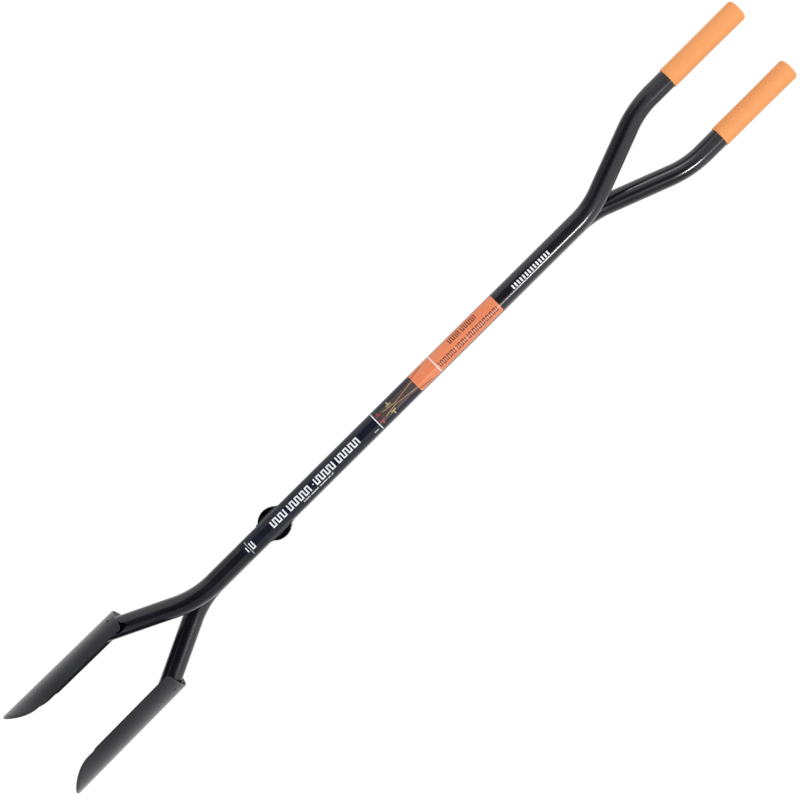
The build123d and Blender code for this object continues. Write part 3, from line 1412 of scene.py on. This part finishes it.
@dataclass
class Arm:
    """One arm of the digger: tube, blade, welds, grip and half of the pivot."""

    side: Side
    palette: Palette
    shaft: Shaft = Shaft()
    blade: Blade = Blade()
    bead: WeldBead = WeldBead()
    grip: Grip = Grip()
    cup: PivotCup = PivotCup()
    saddle_bead: SaddleBead = SaddleBead()

    def _place(self, piece: bpy.types.Object, finish: bpy.types.Material, slot: str, part: str) -> None:
        """Turns a piece to this arm, dresses it and mounts it in place of its CAD node.

        Args:
            piece: the object, drawn on the rear arm.
            finish: its material.
            slot: the record's material slot.
            part: the CAD node's name without its side.
        """
        piece.data.transform(self.side.turn)
        dressed(piece, finish)
        mounted(piece, self.side.body, slot, self.side.node(part))

    def build(self) -> None:
        """Makes every piece of the arm."""
        low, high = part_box("rear_shaft")
        offset = (low.y + high.y) / 2
        height = frame["joints"][0]["pos_m"][2]
        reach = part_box("rear_blade")[1].x
        place = self.blade.frame(reach)
        name = self.side.value
        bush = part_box("pivot_bush")
        bore = (bush[1].x - bush[0].x) / 2 if self.side is Side.REAR else self.cup.rivet_radius
        paints = self.palette
        tube = self.shaft.build(f"{name}_tube", offset, high.z, self.blade, place)
        self._place(tube, paints.tube, "tube_paint", "shaft")
        blade = self.blade.build(f"{name}_digging_blade", place)
        self._place(blade, paints.blade, "blade_paint", "blade")
        bead = self.bead.build(f"{name}_blade_bead", self.shaft, offset, self.blade, place)
        self._place(bead, paints.weld, "weld_paint", "blade_weld")
        grip = self.grip.build(f"{name}_hand_grip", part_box("rear_grip"), self.shaft.radius)
        self._place(grip, paints.grip, "grip_vinyl", "grip")
        cup = self.cup.build(f"{name}_pivot_dish", self.shaft.radius, offset, height, bore)
        self._place(cup, paints.tube, "pivot_paint", "pivot_cup")
        saddle = self.saddle_bead.build(
            f"{name}_saddle_bead", self.shaft.radius, offset, height, self.cup.wing_past_centre
        )
        self._place(saddle, paints.weld, "weld_paint", "cup_weld")


# --------------------------------------------------------------------------------------- pivot and print


@dataclass
class PivotPins:
    """The rivet, its washers and its bush, which keep their CAD shape."""

    palette: Palette

    def build(self) -> None:
        """Gives each turned part its bare metal."""
        for name in ("pivot_rivet", "rivet_washer", "thrust_washer"):
            dressed_node(name, self.palette.steel)
        dressed_node("pivot_bush", self.palette.bronze)


def dressed_node(name: str, material: bpy.types.Material) -> None:
    """Puts a material in a CAD node's only slot.

    Args:
        name: the node's name.
        material: its finish.
    """
    node = frame["nodes"][name]
    node.data.materials.clear()
    node.data.materials.append(material)
    log.info("%s keeps its CAD shape", name)


@dataclass(frozen=True)
class Wrap:
    """The tube's outside as a flat sheet: distance round it, and height."""

    radius: float
    offset: float
    step: float = 0.0016

    def point(self, around: float, height: float, lift: float) -> Vector:
        """A point of the front tube's outward face.

        Args:
            around: distance round the tube, positive towards the front arm's handle.
            height: height above the ground.
            lift: height above the tube's surface.

        Returns:
            The point in the row frame.
        """
        turn = around / self.radius
        reach = self.radius + lift
        return Vector((-reach * sin(turn), -self.offset - reach * cos(turn), height))

    def slab(self, skin: Skin, rows: Sequence[Sequence[Point2]], low: float, high: float) -> None:
        """Adds a thin closed slab over rows of (around, height) points.

        Args:
            skin: where the slab is added.
            rows: rows of equal length.
            low: lift of its underside.
            high: lift of its top.
        """
        under = skin.grid([[self.point(a, z, low) for a, z in row] for row in rows], closed=False)
        over = skin.grid([[self.point(a, z, high) for a, z in row] for row in rows], closed=False)
        for bottom, top in ((under[0], over[0]), (under[-1], over[-1])):
            skin.strip(bottom, top, closed=False)
        for end in (0, -1):
            skin.strip([row[end] for row in under], [row[end] for row in over], closed=False)

    def patch(self, skin: Skin, around: Point2, heights: Point2, corner: float, lifts: Point2) -> None:
        """Adds a rectangle with rounded corners.

        Args:
            skin: where it is added.
            around: its two edges round the tube.
            heights: its lower and upper edge.
            corner: radius of its corners.
            lifts: lift of its underside and of its top.
        """
        (left, right), (bottom, top) = around, heights
        corner = min(corner, (right - left) / 2.05, (top - bottom) / 2.05)
        ends = [corner * (1 - cos(radians(90 * i / 5))) for i in range(6)] if corner > 0 else [0.0]
        levels = [bottom + e for e in ends] + [top - e for e in reversed(ends)]
        columns = max(2, ceil((right - left) / self.step))
        rows = []
        for level in levels:
            depth = corner - min(level - bottom, top - level, corner)
            inset = corner - sqrt(max(0.0, corner**2 - depth**2))
            edges = (left + inset, right - inset)
            rows.append([(edges[0] + (edges[1] - edges[0]) * i / columns, level) for i in range(columns + 1)])
        self.slab(skin, rows, *lifts)

    def stroke(self, skin: Skin, route: Sequence[Point2], width: float, lifts: Point2) -> None:
        """Adds a line of even width.

        Args:
            skin: where it is added.
            route: (around, height) points.
            width: the line's width.
            lifts: lift of its underside and of its top.
        """
        dense = [Vector(route[0])]
        for near, far in zip(route, route[1:]):
            parts = max(1, ceil((Vector(far) - Vector(near)).length / self.step))
            dense += [Vector(near).lerp(Vector(far), (i + 1) / parts) for i in range(parts)]
        rows = []
        for i, spot in enumerate(dense):
            along = (dense[min(len(dense) - 1, i + 1)] - dense[max(0, i - 1)]).normalized()
            side = Vector((-along.y, along.x)) * (width / 2)
            rows.append([tuple(spot + side), tuple(spot - side)])
        self.slab(skin, rows, *lifts)


@dataclass(frozen=True)
class WordRow:
    """A row of bars grouped like words.

    start is the height of the first bar's lower edge. words says how many bars each word has, and nought
    leaves a dot. tall is the bars' length round the tube and centre is the row's middle there. pitch is the
    distance from one bar to the next.
    """

    start: float
    words: tuple[int, ...]
    tall: float
    centre: float
    pitch: float


@dataclass
class ShaftLabel:
    """Printed wrap on the front tube: film, an orange panel, rings, a plain diagram and word-shaped bars."""

    palette: Palette
    wrap: Wrap
    film_lift: float = 0.00018
    panel_lift: float = 0.00022
    ink_lift: float = 0.00027
    film_corner: float = 0.005
    panel_bottom: float = 0.7891
    diagram_bottom: float = 0.7096
    panel_half_width: float = 0.0187
    ring_width: float = 0.0016
    upper_ring: float = 0.8307
    ring_reaches: Point2 = (0.0165, 0.0187)
    foot_line: Point2 = (0.4427, 0.4434)
    foot_line_reach: float = 0.0125
    panel_corner: float = 0.0035
    diagram_half_width: float = 0.0085
    dusk_lift: float = 0.00002
    white_rows: tuple[WordRow, ...] = (
        WordRow(0.4903, (6, 9, 0, 8, 9), 0.0114, 0.0005, 0.00532),
        WordRow(0.5493, (8, 9, 0, 9, 3, 3), 0.0019, -0.0090, 0.00177),
        WordRow(0.6961, (5,), 0.0016, -0.0104, 0.0018),
        WordRow(0.4380, (1,), 0.0085, 0.0, 0.0042),
        WordRow(0.4461, (2,), 0.0120, 0.0, 0.0044),
    )
    russet_rows: tuple[WordRow, ...] = (
        WordRow(0.8678, (7, 9), 0.0090, 0.0096, 0.00344),
        WordRow(0.8346, (10, 6, 18), 0.0086, -0.0062, 0.00350),
    )

    def _piece(self, name: str, skin: Skin, material: bpy.types.Material, *nodes: str) -> None:
        """Makes one layer of the label and mounts it on the front arm."""
        piece = dressed(skin.solid(name), material)
        mounted(piece, Side.FRONT.body, "label_film", *nodes)

    def _film(self, low: Vector, high: Vector) -> None:
        """Makes the black film, the orange panel and the dusk ground of the diagram.

        Args:
            low: lowest corner of the label's CAD box.
            high: highest corner of the label's CAD box.
        """
        half = self.wrap.radius * asin(min(1.0, high.x / (self.wrap.radius + self.film_lift)))
        film = Skin()
        self.wrap.patch(film, (-half, half), (low.z, high.z), self.film_corner, (0.0, self.film_lift))
        self._piece("label_ground", film, self.palette.film, "shaft_label")
        lifts = (self.film_lift, self.panel_lift)
        panel = Skin()
        wide = (-self.panel_half_width, self.panel_half_width)
        self.wrap.patch(panel, wide, (self.panel_bottom, high.z), self.panel_corner, lifts)
        self._piece("label_panel", panel, self.palette.orange)
        dusk = Skin()
        heights = (self.diagram_bottom, self.panel_bottom)
        wide = (-self.diagram_half_width, self.diagram_half_width)
        self.wrap.patch(dusk, wide, heights, 0.0, (self.film_lift, self.film_lift + self.dusk_lift))
        self._piece("label_diagram_ground", dusk, self.palette.dusk)

    def _words(self, skin: Skin, row: WordRow) -> None:
        """Adds a row of bars, each joined to the next at one end.

        Args:
            skin: where they are added.
            row: the row.
        """
        at, pitch = row.start, row.pitch
        for count in row.words:
            if count == 0:
                edges = (row.centre - pitch / 5, row.centre + pitch / 5)
                self.wrap.patch(skin, edges, (at, at + pitch * 0.4), pitch / 5, self._ink)
                at += pitch * 0.9
                continue
            bar = pitch * 0.46
            low, high = row.centre - row.tall / 2, row.centre + row.tall / 2
            for i in range(count):
                self.wrap.patch(skin, (low, high), (at, at + bar), pitch * 0.06, self._ink)
                if i < count - 1:
                    edges = (high - bar * 0.8, high) if i % 2 else (low, low + bar * 0.8)
                    self.wrap.patch(skin, edges, (at + bar, at + pitch), 0.0, self._ink)
                at += pitch
            at += pitch * 0.55

    @property
    def _ink(self) -> Point2:
        """Lift of the underside and of the top of ink on the film."""
        return (self.film_lift, self.ink_lift)

    def _white(self) -> None:
        """White rings and word-shaped bars."""
        white = Skin()
        half = self.ring_width / 2
        for height, reach in zip((self.diagram_bottom, self.upper_ring), self.ring_reaches):
            self.wrap.patch(white, (-reach, reach), (height - half, height + half), 0.0, self._ink)
        line = (-self.foot_line_reach, self.foot_line_reach)
        self.wrap.patch(white, line, self.foot_line, 0.0, self._ink)
        for row in self.white_rows:
            self._words(white, row)
        self._piece("label_white_ink", white, self.palette.white)

    def _russet(self) -> None:
        """Dark word-shaped bars on the orange panel, and the curved ends of the diagram."""
        russet = Skin()
        for row in self.russet_rows:
            self._words(russet, row)
        for side in (-1, 1):
            bend = []
            for i in range(21):
                share = i / 20
                bend.append((side * (0.0006 + 0.0142 * share * (2 - share) ** 0.4), 0.752 + 0.062 * share))
            self.wrap.stroke(russet, bend, 0.0012, self._ink)
        self._piece("label_russet_ink", russet, self.palette.russet)

    def _diagram(self) -> None:
        """A plain diagram of two crossing arms, with hand marks and arrow marks."""
        straw, red = Skin(), Skin()
        for side in (-1, 1):
            arms = [(side * 0.0042, 0.7250), (side * 0.0012, 0.7480), (side * 0.0062, 0.7882)]
            self.wrap.stroke(straw, arms, 0.0008, self._ink)
            for i in range(3):
                at = 0.7350 + 0.0030 * i
                reach = 0.0026 * (1.5 - abs(i - 1))
                edges = sorted((side * 0.0042, side * (0.0042 + 2 * reach)))
                self.wrap.patch(straw, tuple(edges), (at, at + 0.0022), 0.0006, self._ink)
                at = 0.7130 + 0.0030 * i
                edges = sorted((side * 0.0036, side * (0.0036 + 1.7 * reach)))
                self.wrap.patch(red, tuple(edges), (at, at + 0.0022), 0.0008, self._ink)
        self._piece("label_straw_ink", straw, self.palette.straw)
        self._piece("label_red_ink", red, self.palette.red)

    def build(self) -> None:
        """Makes every layer of the label."""
        low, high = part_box("shaft_label")
        self._film(low, high)
        self._white()
        self._russet()
        self._diagram()


@dataclass
class TubeDashes:
    """Plain row of white dashes printed on the front tube above its label."""

    palette: Palette
    wrap: Wrap
    bottom: float = 0.9925
    top: float = 1.0700
    dashes: int = 14
    half_width: float = 0.0036
    around: float = -0.0008
    lift: float = 0.00004

    def build(self) -> None:
        """Makes the dashes."""
        skin = Skin()
        pitch = (self.top - self.bottom) / self.dashes
        edges = (self.around - self.half_width, self.around + self.half_width)
        for i in range(self.dashes):
            start = self.bottom + pitch * i
            self.wrap.patch(skin, edges, (start, start + pitch * 0.5), 0.0006, (-0.00002, self.lift))
        piece = dressed(skin.solid("tube_dashes"), self.palette.white)
        mounted(piece, Side.FRONT.body, "label_film")


# ------------------------------------------------------------------------------------------------- studio


@dataclass(frozen=True)
class Softbox:
    """One rectangular light."""

    name: str
    place: Point2
    height: float
    size: Point2
    power: float
    tilt_to: float = 0.76

    def build(self) -> None:
        """Makes the light, aimed at the digger's axis."""
        data = bpy.data.lights.new(self.name, "AREA")
        data.shape = "RECTANGLE"
        data.size, data.size_y = self.size
        data.energy = self.power
        lamp = bpy.data.objects.new(self.name, data)
        bpy.context.scene.collection.objects.link(lamp)
        lamp.location = (*self.place, self.height)
        aim = Vector((0, 0, self.tilt_to)) - lamp.location
        lamp.rotation_euler = aim.to_track_quat("-Z", "Y").to_euler()


@dataclass(frozen=True)
class Studio:
    """White studio: floor, world, lights and a camera with a long lens."""

    distance: float = 4.5
    aim_height: float = 0.7565
    aim_side: float = 0.0008
    roll: float = radians(45.236)
    tilt: float = radians(-0.32)
    pan: float = radians(-1.08)
    far_clip: float = 60.0
    lens_mm: float = 135.38
    sensor_mm: float = 36.0
    floor_radius: float = 0.4
    white: float = 1.02
    window: tuple[float, float, float] = (-0.16, -0.987, 0.0)
    window_edge: float = 0.72
    window_core: float = 0.84
    window_top: float = 0.095
    window_fade: float = 0.04
    window_depth: float = 0.97
    low_facing: Point2 = (-0.8, 0.1)
    low_rise: float = -0.1
    low_dimming: float = 0.62

    def camera(self) -> None:
        """Makes the camera."""
        forward = Vector((sin(self.pan) * cos(self.tilt), cos(self.pan) * cos(self.tilt), sin(self.tilt)))
        right = forward.cross(Vector((0, 0, 1))).normalized()
        up = right.cross(forward)
        turned_right = right * cos(self.roll) + up * sin(self.roll)
        turned_up = up * cos(self.roll) - right * sin(self.roll)
        data = bpy.data.cameras.new("studio_camera")
        data.sensor_width = self.sensor_mm
        data.lens = self.lens_mm
        data.clip_end = self.far_clip
        camera = bpy.data.objects.new("studio_camera", data)
        bpy.context.scene.collection.objects.link(camera)
        place = Vector((self.aim_side, 0, self.aim_height)) - forward * self.distance
        turn = Matrix((turned_right, turned_up, -forward)).transposed().to_4x4()
        camera.matrix_world = Matrix.Translation(place) @ turn
        bpy.context.scene.camera = camera

    def floor(self) -> None:
        """Makes the plain pale floor just under the blade points."""
        skin = lathe([(0.0, 0.0), (self.floor_radius, 0.0), (self.floor_radius, -0.01), (0.0, -0.01)], 96)
        floor = skin.solid("studio_floor", Matrix.Translation((0, 0, CAD_BOX[0].z - 0.001)))
        paint = bpy.data.materials.new("studio_floor")
        sheet = Sheet(paint)
        glow = sheet.node("ShaderNodeEmission", sockets={"Strength": self.white})
        sheet.node("ShaderNodeOutputMaterial", sockets={0: glow.outputs[0]})
        floor.data.materials.append(paint)

    def world(self) -> None:
        """Makes the world: plain white, but gloss reflects a dark window in front and a dim lower half."""
        world = bpy.data.worlds.new("studio_world")
        bpy.context.scene.world = world
        sheet = Sheet(world)
        direction = sheet.node("ShaderNodeTexCoord").outputs["Generated"]
        window = {0: direction, 1: Vector(self.window).normalized()}
        facing = sheet.node("ShaderNodeVectorMath", {"operation": "DOT_PRODUCT"}, window)
        facing = Signal(sheet, facing.outputs["Value"])
        rise = Signal(sheet, sheet.node("ShaderNodeSeparateXYZ", sockets={0: direction}).outputs[2])
        under = rise.step(self.window_top + self.window_fade, self.window_top)
        dark = facing.step(self.window_edge, self.window_core) * under
        low = facing.step(*self.low_facing) * rise.step(0.0, self.low_rise)
        strength = (1 - self.window_depth * dark) * (1 - self.low_dimming * low)
        lit = sheet.node("ShaderNodeBackground", sockets={"Strength": strength})
        seen = sheet.node("ShaderNodeBackground", sockets={"Strength": self.white})
        for background in (lit, seen):
            background.inputs["Color"].default_value = (1, 1, 1, 1)
        rays = sheet.node("ShaderNodeLightPath").outputs
        plain = Signal(sheet, rays["Is Camera Ray"]) + Signal(sheet, rays["Is Diffuse Ray"])
        choice = sheet.node("ShaderNodeMixShader", sockets={0: plain, 1: lit.outputs[0], 2: seen.outputs[0]})
        sheet.node("ShaderNodeOutputWorld", sockets={0: choice.outputs[0]})

    def lights(self) -> None:
        """Makes the soft lights and the thin strip that draws a bright line on the tubes."""
        for box in (
            Softbox("strip", (1.8, -1.73), 1.31, (0.16, 0.38), 20.0, 1.3),
            Softbox("left_high", (-1.9, -2.3), 2.65, (0.35, 1.4), 12.0, 1.3),
            Softbox("high_front", (-0.4, -1.9), 3.6, (1.6, 1.2), 18.0),
        ):
            box.build()

    def build(self) -> None:
        """Sets the whole studio."""
        bpy.context.scene.view_settings.view_transform = "Standard"
        self.camera()
        self.floor()
        self.world()
        self.lights()


def main() -> None:
    """Builds the studio, then the digger piece by piece."""
    logging.basicConfig(level=logging.INFO, format="%(name)s: %(message)s")
    Studio().build()
    palette = Palette()
    for side in Side:
        Arm(side, palette).build()
    PivotPins(palette).build()
    low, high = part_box("rear_shaft")
    wrap = Wrap(Shaft().radius, (low.y + high.y) / 2)
    ShaftLabel(palette, wrap).build()
    TubeDashes(palette, wrap).build()


if __name__ == "__main__":
    main()
